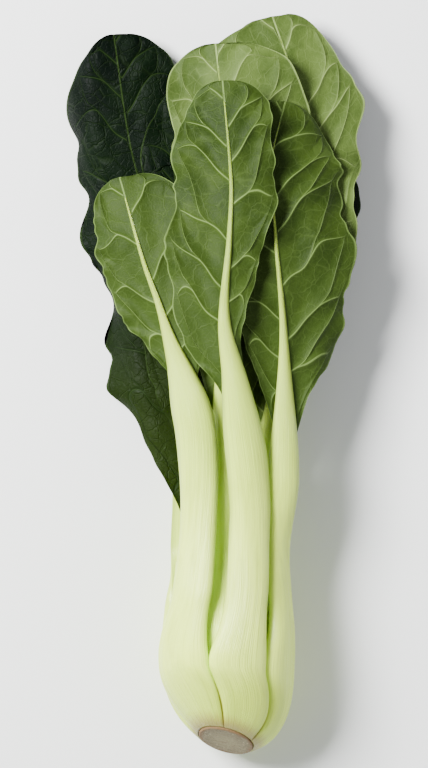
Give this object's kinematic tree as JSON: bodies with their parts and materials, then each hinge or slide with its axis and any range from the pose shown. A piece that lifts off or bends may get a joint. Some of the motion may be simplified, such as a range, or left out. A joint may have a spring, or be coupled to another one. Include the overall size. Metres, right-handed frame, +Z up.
{
  "type": "bok choy",
  "caption": "Whole head of bok choy on its side: thick pale stalks round a cut stem, each opening into a broad, veined green blade.",
  "frame": {"origin": "middle of the head's box seen from above, on the surface that it lies on", "axes": "+Y from the cut stem to the leaf tips, +Z up from the surface that it lies on, +X to the right seen from above with the leaf tips away"},
  "size_m": [0.169, 0.4273, 0.0771],
  "materials": {
    "stalk": "pale green-white leaf stalk, smooth, with a soft gloss",
    "leaf": "green leaf blade with pale raised veins, dark inside and lighter outside",
    "cut": "dry cut stem end, beige with a brown rim"
  },
  "bodies": {
    "root": {"heel": "cut", "stalk_01": "stalk", "blade_01": "leaf", "stalk_02": "stalk", "blade_02": "leaf", "stalk_03": "stalk", "blade_03": "leaf", "stalk_04": "stalk", "blade_04": "leaf", "stalk_05": "stalk", "blade_05": "leaf", "stalk_06": "stalk", "blade_06": "leaf", "stalk_07": "stalk", "blade_07": "leaf", "stalk_08": "stalk", "blade_08": "leaf", "stalk_09": "stalk", "blade_09": "leaf", "stalk_10": "stalk", "blade_10": "leaf", "stalk_11": "stalk", "blade_11": "leaf", "stalk_12": "stalk", "blade_12": "leaf"}
  },
  "joints": []
}
